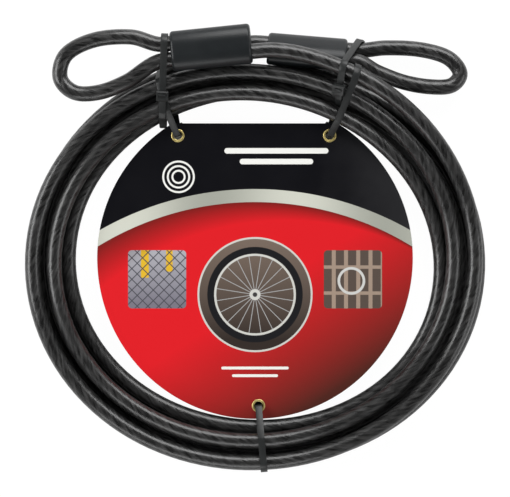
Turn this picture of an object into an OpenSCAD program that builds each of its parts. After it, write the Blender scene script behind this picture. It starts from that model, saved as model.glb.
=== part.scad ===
// Cable lock: one long jacketed steel cable with a crimped loop at each end, wound flat and tied to a round card.
// Lengths are millimetres. The part lies on z = 0 with its face up, and +Y points to the straight top edge of the card.

/* [Cable] */
// Outside diameter of the jacket
cable_d = 10; // [8:0.5:11]
// Diameter of the bare wire rope
core_d = 8; // [6:0.5:8.5]
// Width across the outermost turn
coil_w = 299; // [285:1:320]
// Inward step of each turn in the front layer
front_pitch = 14.1; // [13:0.1:15]
// Free space between neighbouring turns in the back layer and between the layers
turn_gap = 0.6; // [0.5:0.1:1.2]
// How far the wound turns are drawn in at the top and bottom
oval = 7.2; // [6:0.1:8]

/* [Crimps] */
// Distance between the two legs of an end loop in its ferrule
leg_pitch = 10.4; // [10.2:0.1:12]
// Wall of the ferrule round the bare rope
ferrule_wall = 2; // [1.5:0.1:3]
// Length of the ferrule
ferrule_l = 42; // [36:1:46]
// Radial space left between the rope and the bore of the ferrule after crimping
crimp_gap = 0.05; // [0.02:0.01:0.1]
// Wall of the sleeve round the ferrule
sleeve_wall = 1.8; // [1.2:0.1:2.5]
// Length of sleeve past each end of the ferrule
sleeve_over = 5; // [4:0.5:7]
// Rounding of the ends of the sleeve
sleeve_edge = 1.4; // [0.6:0.1:2]
// Radial space round the jacket in the mouth of the sleeve
mouth_gap = 0.3; // [0.2:0.05:0.5]
// Place of the left sleeve along the top of the coil
left_sleeve_x = -28.3; // [-32:0.1:-26]
// Place of the right sleeve along the top of the coil
right_sleeve_x = 34.1; // [32:0.1:38]
// How far the right sleeve is rolled on its side
right_roll = 45; // [43:1:50]

/* [Card] */
// Thickness of the card
card_t = 0.6; // [0.4:0.1:1]
// Space between the rim of the card and the innermost turn
card_gap = 2.4; // [2:0.1:4]
// Depth of the round top that is cut off the card for its straight edge
card_cut = 15.2; // [12:0.1:19]
// Height of the card above the middle of the back layer
card_lift = 3.6; // [3.2:0.1:4]

/* [Eyelets] */
// Bore of an eyelet
eyelet_bore = 5.6; // [5.4:0.1:6]
// Wall of the barrel of an eyelet
eyelet_wall = 0.3; // [0.2:0.05:0.5]
// Diameter of the front flange and of the washer
eyelet_flange = 8.6; // [8:0.1:10]
// Thickness of the front flange
flange_t = 0.45; // [0.3:0.05:0.6]
// Thickness of the washer behind the card
washer_t = 0.4; // [0.3:0.05:0.6]
// Height of the rolled lip behind the washer
lip_t = 0.4; // [0.3:0.05:0.6]
// Distance of the upper eyelets from the straight edge of the card
upper_inset = 8; // [7:0.5:10]
// Distance of the lower eyelet from the rim of the card
lower_inset = 6.6; // [6:0.1:9]
// Place of the left eyelet across the card
left_eyelet_x = -50.5; // [-54:0.5:-48]
// Place of the right eyelet across the card
right_eyelet_x = 48.8; // [47:0.1:50]

/* [Ties] */
// Width of the strap
strap_w = 4.4; // [4:0.1:4.6]
// Thickness of the strap
strap_t = 1.2; // [1:0.05:1.3]
// Space between a strap and the cables that it holds
tie_gap = 0.5; // [0.4:0.05:0.8]
// Bend of the strap at the floor and in the eyelets
bend_r = 1.5; // [1.2:0.1:2]
// Length of a tie head along the strap
head_l = 6.6; // [6.2:0.1:7.5]
// Width of a tie head
head_w = 7.6; // [7:0.1:9]
// Height of a tie head
head_h = 5.6; // [5.4:0.1:6.5]
// Space round the strap in the slot of a head
slot_gap = 0.25; // [0.15:0.05:0.35]
// Cut end of the strap past its head
tail = 0.8; // [0.4:0.1:3]
// Space round the knuckle of a pawl
pawl_gap = 0.05; // [0.03:0.01:0.1]

/* [Hidden] */
$fn = 48;

// ---- levels and radii ----
seat = 0.3;
strap_room = 2 * strap_t + 1.5;
back_z = strap_room + cable_d / 2;
front_z = back_z + cable_d + turn_gap;
back_pitch = cable_d + turn_gap;
start_r = coil_w / 2 - 0.51 * cable_d;
back_r = start_r - 2 * front_pitch - 0.56 * cable_d;
card_r = back_r - cable_d / 2 - card_gap;
card_top = card_r - card_cut;
card_z = back_z + card_lift;
leg = leg_pitch / 2;
ferrule_t = core_d + 2 * ferrule_wall;
sleeve_t = ferrule_t + 2 * sleeve_wall;
sleeve_l = ferrule_l + 2 * sleeve_over;
right_z = sleeve_t / 2 + leg * sin(right_roll) + seat;
over_z = right_z + leg * sin(right_roll) + sleeve_t / 2 + cable_d / 2 + 0.5;
left_y = start_r - 0.85 * cable_d;
right_y = start_r - 0.95 * cable_d;

// ---- placing: [centre, roll, pitch, turn] ----
left_at = [[left_sleeve_x, left_y, over_z], 0, 3, 5.5];
right_at = [[right_sleeve_x, right_y, right_z], right_roll, 0, -4.7];

function rx(v, a) = [v[0], v[1] * cos(a) - v[2] * sin(a), v[1] * sin(a) + v[2] * cos(a)];
function ry(v, a) = [v[0] * cos(a) + v[2] * sin(a), v[1], v[2] * cos(a) - v[0] * sin(a)];
function rz(v, a) = [v[0] * cos(a) - v[1] * sin(a), v[0] * sin(a) + v[1] * cos(a), v[2]];
function put(v, f) = f[0] + rz(ry(rx(v, -f[1]), -f[2]), f[3]);
function unit(v) = v / norm(v);
function smooth(t) = let (x = min(max(t, 0), 1)) x * x * (3 - 2 * x);

// ---- route of the wound cable: two turns in front, a climb, then the rest behind ----
steps = 24;
first_u = 0.07;
last_u = 4.94;
climb_u = 2;
front_end = 0.36;

function front_r(u) = start_r - front_pitch * u - cable_d * (0.415 * sin(360 * u) + 0.24 * cos(360 * u))
    - (oval - 0.055 * cable_d) * cos(720 * u);
function rear_r(u) = back_r + back_pitch * (u - climb_u + 0.36 * sin(360 * u) - 0.27 * cos(360 * u))
    - (oval + 0.05 * cable_d) * cos(720 * u);
function wind(u) =
    let (k = smooth((u - climb_u) / 0.4))
    let (kz = smooth((u - climb_u) / 0.35))
    let (lift = u < 1 ? (over_z - front_z) * (1 - smooth((u - 0.08) / 0.13)) : 0)
    let (r = front_r(u) * (1 - k) + rear_r(u) * k)
    [r * sin(360 * u), r * cos(360 * u), front_z * (1 - kz) + back_z * kz + lift];
function wind_dir(u) = unit(wind(u + 0.001) - wind(u - 0.001));

// A smooth bridge of three points from p (leaving along s) to q (arriving along t)
function bridge(p, s, q, t) =
    let (l = norm(q - p))
    [for (i = [0.25, 0.5, 0.75])
        (2 * i * i * i - 3 * i * i + 1) * p + (i * i * i - 2 * i * i + i) * l * s
        + (3 * i * i - 2 * i * i * i) * q + (i * i * i - i * i) * l * t];

end_x = ferrule_l / 2;
coil_in = [put([end_x, -leg, 0], left_at), put([end_x + cable_d, -leg, 0], left_at)];
coil_out = [put([-end_x - cable_d, leg, 0], right_at), put([-end_x, leg, 0], right_at)];
laid_in = concat(coil_in, bridge(coil_in[1], unit(coil_in[1] - coil_in[0]), wind(first_u), wind_dir(first_u)),
    [wind(first_u)], [for (i = [3 : climb_u * steps]) wind(i / steps)]);
climb = [for (i = [climb_u * steps : climb_u * steps + 9]) wind(i / steps)];
laid_back = concat([for (i = [climb_u * steps + 9 : 118]) wind(i / steps)], [wind(last_u)],
    bridge(wind(last_u), wind_dir(last_u), coil_out[0], unit(coil_out[1] - coil_out[0])), coil_out);
coil_path = concat(laid_in, [for (i = [1 : 8]) climb[i]], laid_back);

// ---- routes of the end loops, in cable diameters from the end of the ferrule in the frame of its sleeve ----
left_loop_points = [[-3, 1.2, 0], [-5.4, 1.25, 0], [-7.3, 0.5, 0], [-7.85, -0.95, 0], [-7, -2, 0], [-5.4, -2.15, 0],
    [-3.55, -1.65, 0]];
right_loop_points = [[3, 0.75, 0.25], [5.25, 0.75, 0.35], [7.1, 0.4, 0.15], [8, -0.3, -0.5], [7.5, -0.95, -1.05],
    [6.15, -1.15, -1.15], [4.4, -1.1, -1], [2.6, -0.85, -0.55]];

// A curve through the points between two straight ends that run along x on side sx of the sleeve
function spline(p, i, t) =
    let (a = p[i - 1])
    let (b = p[i])
    let (c = p[i + 1])
    let (d = p[i + 2])
    0.5 * (2 * b + (c - a) * t + (2 * a - 5 * b + 4 * c - d) * t * t + (3 * b - a - 3 * c + d) * t * t * t);
function loop_path(points, sx, f) =
    let (b = [sx * (end_x + cable_d), leg, 0])
    let (e = [sx * (end_x + cable_d), -leg, 0])
    let (n = len(points))
    let (m = [for (v = points) [sx * end_x, 0, 0] + cable_d * v])
    let (q0 = m[0] - [2 * sx * norm(m[0] - b), 0, 0])
    let (q1 = m[n - 1] - [2 * sx * norm(m[n - 1] - e), 0, 0])
    let (p = concat([q0, b], m, [e, q1]))
    [for (v = concat([[sx * end_x, leg, 0]], [for (i = [1 : n + 1]) for (t = [0, 1 / 3, 2 / 3]) spline(p, i, t)],
        [e, [sx * end_x, -leg, 0]])) put(v, f)];
left_loop = loop_path(left_loop_points, -1, left_at);
right_loop = loop_path(right_loop_points, 1, right_at);

// ---- least gap of the wound cable to itself ----
fine = [for (i = [0 : len(coil_path) - 2]) for (t = [0, 1 / 3, 2 / 3]) coil_path[i] * (1 - t) + coil_path[i + 1] * t];
self_gap = min([for (i = [0 : len(fine) - 1]) for (j = [i + 24 : 1 : len(fine) - 1]) norm(fine[i] - fine[j])])
    - cable_d;
echo(least_gap_of_coil_to_itself = self_gap);

// ---- ties: each lies in a plane [origin, turn, tilt], taut round discs [s, z, radius] in that plane ----
left_card_plane = [[left_eyelet_x, card_top - upper_inset, card_z], 105, -10];
right_card_plane = [[right_eyelet_x, card_top - upper_inset, card_z], 72, 10];
lower_card_plane = [[2.3, lower_inset - card_r, card_z], -85, 0];
left_loop_plane = [[left_sleeve_x - sleeve_l / 2 - 5.9, start_r - 54.4, 0], 88, 0];
right_loop_plane = [[right_sleeve_x + sleeve_l / 2 - 2.75, start_r - 52.4, 0], 75, -14];

function to_plane(p, f) = rx(rz(p - f[0], -f[1]), -f[2]);
function from_plane(p, f) = f[0] + rz(rx(p, f[2]), f[1]);

// Where a route passes through the plane at y across the strap: [s, z, how slanting it passes]
function crossings(route, f, y) =
    let (q = [for (p = route) to_plane(p, f)])
    [for (i = [0 : len(q) - 2])
        let (a = q[i])
        let (b = q[i + 1])
        if ((a[1] - y) * (b[1] - y) < 0)
            let (c = a + (b - a) * (y - a[1]) / (b[1] - a[1]))
            if (abs(c[0] - 30) < 60) [c[0], c[2], norm(b - a) / abs(b[1] - a[1])]];

// A cable under both edges of the strap, as discs that the strap goes round: two, where it passes slanting
wrap_r = cable_d / 2 + tie_gap + strap_t / 2;
function crossed(route, f) =
    [for (y = [-strap_w / 2, strap_w / 2]) for (c = crossings(route, f, y)) for (w = [-1, 1])
        [c[0] + w * cable_d / 2 * (c[2] - 1), c[1], wrap_r]];

// Two small discs in the eyelet, and two where the strap lies flat on the floor under the lowest cables
eyelet_discs = [[bend_r, 0.9, bend_r], [bend_r, -1.9, bend_r]];
function floor_discs(d, z) =
    let (low = min([for (c = d) if (c[2] == wrap_r) c[1]]) + 2)
    let (s = [for (c = d) if (c[2] == wrap_r && c[1] < low) c[0]])
    [[min(s) - wrap_r + bend_r, z + bend_r, bend_r], [max(s) + wrap_r - bend_r, z + bend_r, bend_r]];
function with_floor(d, z) = concat(d, floor_discs(d, z));

left_card_discs = concat(crossed(coil_path, left_card_plane), eyelet_discs);
right_card_discs = concat(crossed(coil_path, right_card_plane), eyelet_discs);
lower_card_discs = concat(with_floor(crossed(coil_path, lower_card_plane), strap_t / 2 - card_z), eyelet_discs);

// The taut loop round the discs, moved out by o
function reach(d, a) = d[0] * cos(a) + d[1] * sin(a) + d[2];
function farthest(discs, a) =
    let (far = max([for (d = discs) reach(d, a)]))
    [for (d = discs) if (reach(d, a) == far) d][0];
function taut(discs, o) = [for (a = [0 : 10 : 350]) let (d = farthest(discs, a))
    [d[0] + (d[2] + o) * cos(a), d[1] + (d[2] + o) * sin(a)]];

// The left loop tie also goes over the strap of the card tie beside it
function strap_lines(discs, f) = [for (w = [-2 : 2])
    let (y = w * strap_w / 4)
    let (h = taut(discs, strap_t / 2))
    [for (i = [0 : 36]) from_plane([h[i % 36][0], y, h[i % 36][1]], f)]];
function strap_crossed(lines, f) = [for (l = lines) for (w = [-2 : 2])
    for (c = crossings(l, f, w * strap_w / 4)) if (c[1] > card_z) [c[0], c[1], strap_t / 2 + strap_gap]];
strap_gap = 0.8;
left_loop_discs = with_floor(concat(crossed(coil_path, left_loop_plane), crossed(left_loop, left_loop_plane),
    strap_crossed(strap_lines(left_card_discs, left_card_plane), left_loop_plane)), strap_t / 2);
right_loop_discs = with_floor(concat(crossed(laid_in, right_loop_plane), crossed(laid_back, right_loop_plane),
    crossed(right_loop, right_loop_plane)), strap_t / 2 + strap_w / 2 * tan(-right_loop_plane[2]) + 0.03);

// The straight run of a loop over s on its lower side, or the longest on its upper side, by its number
function lower_run(discs, s) =
    let (h = taut(discs, 0))
    [for (i = [0 : 35]) if (s > h[i][0] && h[(i + 1) % 36][0] >= s) i][0];
function upper_run(discs) =
    let (h = taut(discs, 0))
    let (l = [for (i = [0 : 35]) let (v = h[i] - h[(i + 1) % 36]) v[0] > abs(v[1]) ? norm(v) : 0])
    [for (i = [0 : 35]) if (l[i] == max(l)) i][0];

// The frame of a head on a run: [s, z, angle, run], d from the run's start or, if negative, from its end
function head_on(discs, i, d) =
    let (h = taut(discs, 0))
    let (p = h[i])
    let (v = h[(i + 1) % 36] - p)
    let (t = unit(v))
    let (c = p + t * (d < 0 ? norm(v) + d : d))
    [c[0] - strap_t / 2 * t[1], c[1] + strap_t / 2 * t[0], atan2(t[1], t[0]), i];

left_card_head = head_on(left_card_discs, lower_run(left_card_discs, 7), head_l / 2 + 1.1);
right_card_head = head_on(right_card_discs, lower_run(right_card_discs, 7), head_l / 2 + 1.1);
lower_card_head = head_on(lower_card_discs, lower_run(lower_card_discs, 5), head_l / 2 + 1.1);
left_loop_head = head_on(left_loop_discs, upper_run(left_loop_discs), -11);
right_loop_head = head_on(right_loop_discs, upper_run(right_loop_discs), -head_l / 2 - 4);

// ---- head and pawl, in the frame of a head: x along the strap, z away from the cables ----
slot_x = -0.9;
slot_w = strap_t + 2 * slot_gap;
window_w = strap_w + 0.5;
pocket_x = 2.1;
pocket_z = [1.6, head_h - 0.75];
knuckle_r = 0.45;
knuckle_at = [pocket_x - knuckle_r - pawl_gap, pocket_z[0] + knuckle_r + pawl_gap];
tooth_x = slot_x + strap_t / 2 + 0.18;

// ---- middle of the whole part, which goes over the origin ----
top_y = left_y + (sleeve_l / 2 - sleeve_edge) * sin(5.5) + (leg + sleeve_t / 2 - sleeve_edge) * cos(5.5) + sleeve_edge;
bottom_s = max([for (p = taut(lower_card_discs, strap_t / 2)) p[0]]);
bottom_y = lower_card_plane[0][1] - bottom_s * sin(85) - strap_w / 2 * cos(85);
mid_y = (top_y + bottom_y) / 2;
echo(mid_y = mid_y);

// Where the pawls turn: a point on each hinge and the way it points
function knuckle(f, h) = from_plane([h[0] + knuckle_at[0] * cos(h[2]) + knuckle_at[1] * sin(h[2]), 0,
    h[1] + knuckle_at[0] * sin(h[2]) - knuckle_at[1] * cos(h[2])], f) - [0, mid_y, 0];
function hinge_way(f) = rz(rx([0, -1, 0], f[2]), f[1]);
echo(left_card_pawl = knuckle(left_card_plane, left_card_head), hinge_way(left_card_plane));
echo(right_card_pawl = knuckle(right_card_plane, right_card_head), hinge_way(right_card_plane));
echo(lower_card_pawl = knuckle(lower_card_plane, lower_card_head), hinge_way(lower_card_plane));
echo(left_loop_pawl = knuckle(left_loop_plane, left_loop_head), hinge_way(left_loop_plane));
echo(right_loop_pawl = knuckle(right_loop_plane, right_loop_head), hinge_way(right_loop_plane));

// ---- shared shapes ----
module centred() {
    translate([0, -mid_y, 0]) children();
}

module in_frame(f) {
    centred() translate(f[0]) rotate([-f[1], -f[2], f[3]]) children();
}

// A tube of n sides along a route that never points straight up
module tube(path, d, n) {
    m = len(path);
    way = [for (i = [0 : m - 1]) unit(unit(path[min(i + 1, m - 1)] - path[max(i, 0) == m - 1 ? m - 2 : i])
        + unit(path[max(i, 1)] - path[max(i - 1, 0)]))];
    side = [for (w = way) unit(cross(w, [0, 0, 1]))];
    rings = [for (i = [0 : m - 1]) for (k = [0 : n - 1]) let (a = 360 * (k + 0.5) / n)
        path[i] + d / 2 * (cos(a) * side[i] + sin(a) * cross(side[i], way[i]))];
    walls = [for (i = [0 : m - 2]) for (k = [0 : n - 1]) let (l = (k + 1) % n)
        each [[i * n + k, (i + 1) * n + l, i * n + l], [i * n + k, (i + 1) * n + k, (i + 1) * n + l]]];
    caps = [for (k = [1 : n - 2]) each [[0, k, k + 1], [(m - 1) * n, (m - 1) * n + k + 1, (m - 1) * n + k]]];
    polyhedron(points = rings, faces = concat(walls, caps));
}

// A flat-sided bar with two round edges along x, its ends rounded by e
module double_bar(l, t, e) {
    arc = [for (a = [0 : 15 : 90]) [t / 2 - e + e * cos(a), l / 2 - e + e * sin(a)]];
    half = concat([[0, -l / 2]], [for (i = [len(arc) - 1 : -1 : 0]) [arc[i][0], -arc[i][1]]], arc, [[0, l / 2]]);
    for (y = [-leg, leg]) translate([0, y, 0]) rotate([0, 90, 0]) rotate_extrude() polygon(half);
    rotate([90, 0, 0]) linear_extrude(leg_pitch, center = true) union() {
        polygon([for (p = half) [p[1], p[0]]]);
        polygon([for (p = half) [p[1], -p[0]]]);
    }
}

// ---- cable ----
module cable_coil() {
    color([0.10, 0.10, 0.11]) centred() tube(coil_path, cable_d, 6);
}

module left_end_loop() {
    color([0.12, 0.12, 0.13]) centred() tube(left_loop, cable_d, 8);
}

module right_end_loop() {
    color([0.12, 0.12, 0.13]) centred() tube(right_loop, cable_d, 8);
}

module core(f, y) {
    color([0.62, 0.63, 0.65]) in_frame(f) translate([0, y, 0]) rotate([0, 90, 0])
        cylinder(d = core_d, h = ferrule_l, center = true);
}

module left_standing_core() { core(left_at, -leg); }

module left_dead_core() { core(left_at, leg); }

module right_standing_core() { core(right_at, leg); }

module right_dead_core() { core(right_at, -leg); }

// ---- crimps ----
module ferrule(f) {
    color([0.75, 0.76, 0.78]) in_frame(f) difference() {
        double_bar(ferrule_l, ferrule_t, 0.6);
        for (y = [-leg, leg]) translate([0, y, 0]) rotate([0, 90, 0])
            cylinder(d = core_d + 2 * crimp_gap, h = ferrule_l + 2, center = true);
    }
}

module left_ferrule() { ferrule(left_at); }

module right_ferrule() { ferrule(right_at); }

// The sleeve is closed round the ferrule; loop_side is where both legs leave, the standing leg leaves alone at y
module ferrule_sleeve(f, loop_side, y) {
    mouth_d = cable_d + 2 * mouth_gap;
    color([0.13, 0.13, 0.14]) in_frame(f) difference() {
        double_bar(sleeve_l, sleeve_t, sleeve_edge);
        double_bar(ferrule_l + 0.1, ferrule_t + 0.1, 0.5);
        translate([loop_side * (ferrule_l / 2 + sleeve_over / 2), 0, 0]) {
            for (s = [-leg, leg]) translate([0, s, 0]) rotate([0, 90, 0])
                cylinder(d = mouth_d, h = sleeve_over + 2, center = true);
            cube([sleeve_over + 2, leg_pitch, mouth_d], center = true);
        }
        translate([-loop_side * (ferrule_l / 2 + sleeve_over / 2), y, 0]) rotate([0, 90, 0])
            cylinder(d = mouth_d, h = sleeve_over + 2, center = true);
    }
}

module left_ferrule_sleeve() { ferrule_sleeve(left_at, -1, -leg); }

module right_ferrule_sleeve() { ferrule_sleeve(right_at, 1, leg); }

// ---- card and eyelets ----
eyelets = [left_card_plane[0], right_card_plane[0], lower_card_plane[0]];
barrel_d = eyelet_bore + 2 * eyelet_wall;

module display_card() {
    color([0.55, 0.06, 0.07]) centred() difference() {
        translate([0, 0, card_z - card_t / 2]) linear_extrude(card_t) intersection() {
            circle(r = card_r, $fn = 180);
            translate([-card_r, -card_r - 1]) square([2 * card_r, card_r + 1 + card_top]);
        }
        for (e = eyelets) translate(e) cylinder(d = barrel_d + 0.1, h = 4 * card_t, center = true);
    }
}

module eyelet(e) {
    r = eyelet_bore / 2;
    f = eyelet_flange / 2;
    top = card_t / 2;
    low = -card_t / 2 - washer_t;
    color([0.80, 0.68, 0.38]) centred() translate(e) rotate_extrude() polygon([[r, low - lip_t * 0.6],
        [r + 0.25, low - lip_t], [r + 0.7, low - lip_t], [r + 1, low - lip_t * 0.6], [r + 1, low],
        [r + eyelet_wall, low], [r + eyelet_wall, top], [f, top], [f, top + flange_t * 0.4],
        [f - 0.3, top + flange_t], [r + 0.5, top + flange_t], [r + 0.1, top + flange_t * 0.7], [r, top]]);
}

module left_eyelet() { eyelet(eyelets[0]); }

module right_eyelet() { eyelet(eyelets[1]); }

module lower_eyelet() { eyelet(eyelets[2]); }

module washer(e) {
    color([0.74, 0.62, 0.34]) centred() translate([e[0], e[1], e[2] - card_t / 2 - washer_t]) difference() {
        cylinder(d = eyelet_flange, h = washer_t);
        translate([0, 0, -1]) cylinder(d = barrel_d + 0.1, h = washer_t + 2);
    }
}

module left_eyelet_washer() { washer(eyelets[0]); }

module right_eyelet_washer() { washer(eyelets[1]); }

module lower_eyelet_washer() { washer(eyelets[2]); }

// ---- ties ----
module in_plane(f) {
    centred() translate(f[0]) rotate([0, 0, f[1]]) rotate([f[2], 0, 0]) children();
}

module on_head(h) {
    translate([h[0], 0, h[1]]) rotate([0, -h[2], 0]) rotate([180, 0, 0]) children();
}

// Head with its slot, the way in for the strap and the pocket of the pawl
module tie_head() {
    x = head_l / 2;
    c = 0.6;
    way_in = slot_x - slot_w / 2;
    rotate([90, 0, 0]) difference() {
        linear_extrude(head_w, center = true)
            polygon([[-x, 0.3], [-x + 0.45, -0.15], [x - 0.3, -0.15], [x, 0.15], [x, head_h - 2 * c], [x - c, head_h],
                [-x + c, head_h], [-x, head_h - c]]);
        linear_extrude(window_w, center = true) {
            translate([way_in, -1]) square([slot_w, head_h + 2]);
            translate([-x - 1, -1]) square([x + 1 + way_in + 0.01, 3.2]);
            translate([way_in + slot_w - 0.01, pocket_z[0]])
                square([pocket_x - way_in - slot_w + 0.01, pocket_z[1] - pocket_z[0]]);
        }
    }
}

// The strap from its root on the head, round the cables, back into the head and up through the slot
function at_head(h, x, z) = [h[0] + x * cos(h[2]) + z * sin(h[2]), h[1] + x * sin(h[2]) - z * cos(h[2])];
function strap_outline(discs, h) =
    let (out = taut(discs, strap_t / 2))
    let (in = taut(discs, -strap_t / 2))
    let (r = strap_t / 2)
    let (bend_x = slot_x - bend_r)
    concat([at_head(h, pocket_x + 0.2, strap_t)], [for (i = [1 : 36]) out[(h[3] + i) % 36]],
        [for (a = [-90 : 15 : 0]) at_head(h, bend_x + (bend_r - r) * cos(a), r + bend_r + (bend_r - r) * sin(a))],
        [at_head(h, slot_x - r, head_h + tail), at_head(h, slot_x + r, head_h + tail)],
        [for (a = [0 : -15 : -90]) at_head(h, bend_x + (bend_r + r) * cos(a), r + bend_r + (bend_r + r) * sin(a))],
        [for (i = [36 : -1 : 1]) in[(h[3] + i) % 36]], [at_head(h, pocket_x + 0.2, 0)]);

module tie(f, discs, h) {
    color([0.09, 0.09, 0.10]) in_plane(f) union() {
        rotate([90, 0, 0]) linear_extrude(strap_w, center = true) polygon(strap_outline(discs, h));
        on_head(h) tie_head();
    }
}

module left_card_tie() { tie(left_card_plane, left_card_discs, left_card_head); }

module right_card_tie() { tie(right_card_plane, right_card_discs, right_card_head); }

module lower_card_tie() { tie(lower_card_plane, lower_card_discs, lower_card_head); }

module left_loop_tie() { tie(left_loop_plane, left_loop_discs, left_loop_head); }

module right_loop_tie() { tie(right_loop_plane, right_loop_discs, right_loop_head); }

// Pawl: a toothed tongue that leans towards the strap from a round knuckle in the corner of the pocket
module pawl(f, h) {
    k = knuckle_at;
    t = tooth_x;
    color([0.16, 0.16, 0.18]) in_plane(f) on_head(h) rotate([90, 0, 0]) linear_extrude(window_w - 0.6, center = true) union() {
        translate(k) circle(r = knuckle_r);
        polygon([[k[0] - 0.42, k[1] - 0.1], [k[0] + 0.1, k[1] + 0.35], [k[0] - 0.35, k[1] + 2.2], [t + 0.37, k[1] + 2.4],
            [t, k[1] + 2.3], [t + 0.32, k[1] + 1.9], [t, k[1] + 1.7], [t + 0.32, k[1] + 1.3], [t, k[1] + 1.1],
            [t + 0.37, k[1] + 0.7]]);
    }
}

module left_card_tie_pawl() { pawl(left_card_plane, left_card_head); }

module right_card_tie_pawl() { pawl(right_card_plane, right_card_head); }

module lower_card_tie_pawl() { pawl(lower_card_plane, lower_card_head); }

module left_loop_tie_pawl() { pawl(left_loop_plane, left_loop_head); }

module right_loop_tie_pawl() { pawl(right_loop_plane, right_loop_head); }

cable_coil();
left_end_loop();
right_end_loop();
left_standing_core();
left_dead_core();
right_standing_core();
right_dead_core();
left_ferrule();
right_ferrule();
left_ferrule_sleeve();
right_ferrule_sleeve();
display_card();
left_eyelet();
right_eyelet();
lower_eyelet();
left_eyelet_washer();
right_eyelet_washer();
lower_eyelet_washer();
left_card_tie();
right_card_tie();
lower_card_tie();
left_loop_tie();
right_loop_tie();
left_card_tie_pawl();
right_card_tie_pawl();
lower_card_tie_pawl();
left_loop_tie_pawl();
right_loop_tie_pawl();
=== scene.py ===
# %% [markdown]
# # A looped steel cable on its display card
# The object is about four and a half metres of steel rope in a smoky vinyl jacket. Each end is turned
# back into an eye and held by a pressed ferrule under a rubber sleeve. The cable is wound flat, and five
# nylon ties hold it to a round card and hold the eyes to the coil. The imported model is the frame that
# every piece here is fitted to, so it is loaded first and its box is kept.

# %% Load the frame
import math
import bmesh
import bpy
from mathutils import Matrix, Vector


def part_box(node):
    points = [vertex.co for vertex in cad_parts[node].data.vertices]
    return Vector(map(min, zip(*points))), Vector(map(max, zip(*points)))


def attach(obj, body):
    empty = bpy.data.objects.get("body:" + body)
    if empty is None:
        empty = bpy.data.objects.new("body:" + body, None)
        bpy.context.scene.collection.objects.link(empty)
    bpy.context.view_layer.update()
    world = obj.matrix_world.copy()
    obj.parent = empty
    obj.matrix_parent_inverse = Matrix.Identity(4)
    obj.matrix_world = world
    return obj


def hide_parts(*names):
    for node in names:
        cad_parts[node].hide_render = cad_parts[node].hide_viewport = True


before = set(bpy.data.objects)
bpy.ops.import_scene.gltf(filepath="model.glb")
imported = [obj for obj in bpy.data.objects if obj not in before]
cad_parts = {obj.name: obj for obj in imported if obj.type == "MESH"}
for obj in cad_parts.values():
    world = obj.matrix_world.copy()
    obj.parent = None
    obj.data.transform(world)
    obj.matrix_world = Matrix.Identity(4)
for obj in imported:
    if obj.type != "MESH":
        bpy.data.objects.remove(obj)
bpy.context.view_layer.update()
bpy.context.scene.view_settings.view_transform = "Standard"
MM = 0.001

# %% [markdown]
# ## The camera
# A flat object like this is best seen from straight above. A long lens keeps the near turns and the far
# card in true proportion, as a copying camera does. A camera in Blender looks down its own -Z, so no
# rotation is needed.

# %% Camera
VIEW_WIDTH = 331.5 * MM
VIEW_LEVEL = 20 * MM
VIEW_MIDDLE_Y = 0.26 * MM
LENS = 135
SENSOR = 36

height = VIEW_LEVEL + VIEW_WIDTH * LENS / SENSOR
bpy.ops.object.camera_add(location=(0, VIEW_MIDDLE_Y, height), rotation=(0, 0, 0))
camera = bpy.context.object
camera.data.lens = LENS
camera.data.sensor_width = SENSOR
bpy.context.scene.camera = camera
print("camera height:", round(height, 3))

# %% [markdown]
# ## Driving sizes
# These are the sizes of the source part, in millimetres, and the roll of the right crimp in degrees. LEG
# is half the distance between the two cables in a crimp. The route of the cable is worked out from these
# sizes, so they are kept together here. Then come the levels and the radii: EDGE_IN sets the first turn
# in from the coil's edge, and LAYER_IN sets the back layer in from the front one. The middle of the box
# is read from the frame, because the whole model is centred on it.

# %% Sizes
CABLE_D = 10
CORE_D = 8
COIL_W = 299
FRONT_TURNS = 2
FRONT_PITCH = 14.1
TURN_GAP = 0.6
OVAL = 7.2
STRAP_ROOM = 3.9
LEG = 5.2
FERRULE_L = 42
FERRULE_WALL = 2
SLEEVE_WALL = 1.8
SLEEVE_OVER = 5
RIGHT_ROLL = 45
FLOOR_GAP = 0.3
CROSSING_GAP = 0.5
CARD_GAP = 2.4
CARD_CUT = 15.2
CARD_T = 0.6
CARD_LIFT = 3.6
print("cable:", CABLE_D, "mm thick in a coil of", COIL_W, "mm")

# %% Levels and radii
EDGE_IN = 0.51 * CABLE_D
LAYER_IN = 0.56 * CABLE_D
BACK_PITCH = CABLE_D + TURN_GAP
BACK_Z = STRAP_ROOM + CABLE_D / 2
FRONT_Z = BACK_Z + CABLE_D + TURN_GAP
START_R = COIL_W / 2 - EDGE_IN
BACK_R = START_R - FRONT_TURNS * FRONT_PITCH - LAYER_IN
CARD_R = BACK_R - CABLE_D / 2 - CARD_GAP
CARD_TOP = CARD_R - CARD_CUT
CARD_Z = BACK_Z + CARD_LIFT
FERRULE_T = CORE_D + 2 * FERRULE_WALL
SLEEVE_T = FERRULE_T + 2 * SLEEVE_WALL
SLEEVE_L = FERRULE_L + 2 * SLEEVE_OVER
RIGHT_RISE = LEG * math.sin(math.radians(RIGHT_ROLL))
RIGHT_Z = SLEEVE_T / 2 + RIGHT_RISE + FLOOR_GAP
OVER_Z = RIGHT_Z + RIGHT_RISE + SLEEVE_T / 2 + CABLE_D / 2 + CROSSING_GAP
MID_Y = -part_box("display_card")[0][1] / MM - CARD_R
print("middle of the box in Y:", round(MID_Y, 3), "radius of the card:", round(CARD_R, 3))

# %% [markdown]
# ## Where the two crimps lie
# Each crimp has a frame of its own: x runs along the ferrule, and the two legs of the cable lie one LEG
# to either side of it. Rolling, pitching and turning that frame puts a whole crimp in place, and one
# matrix does all three. Both lie at the top of the coil, a little further in than the outermost turn.

# %% Frames of the crimps
LEFT_CRIMP_X = -28.3
LEFT_CRIMP_IN = 0.85 * CABLE_D
RIGHT_CRIMP_X = 34.1
RIGHT_CRIMP_IN = 0.95 * CABLE_D


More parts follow.
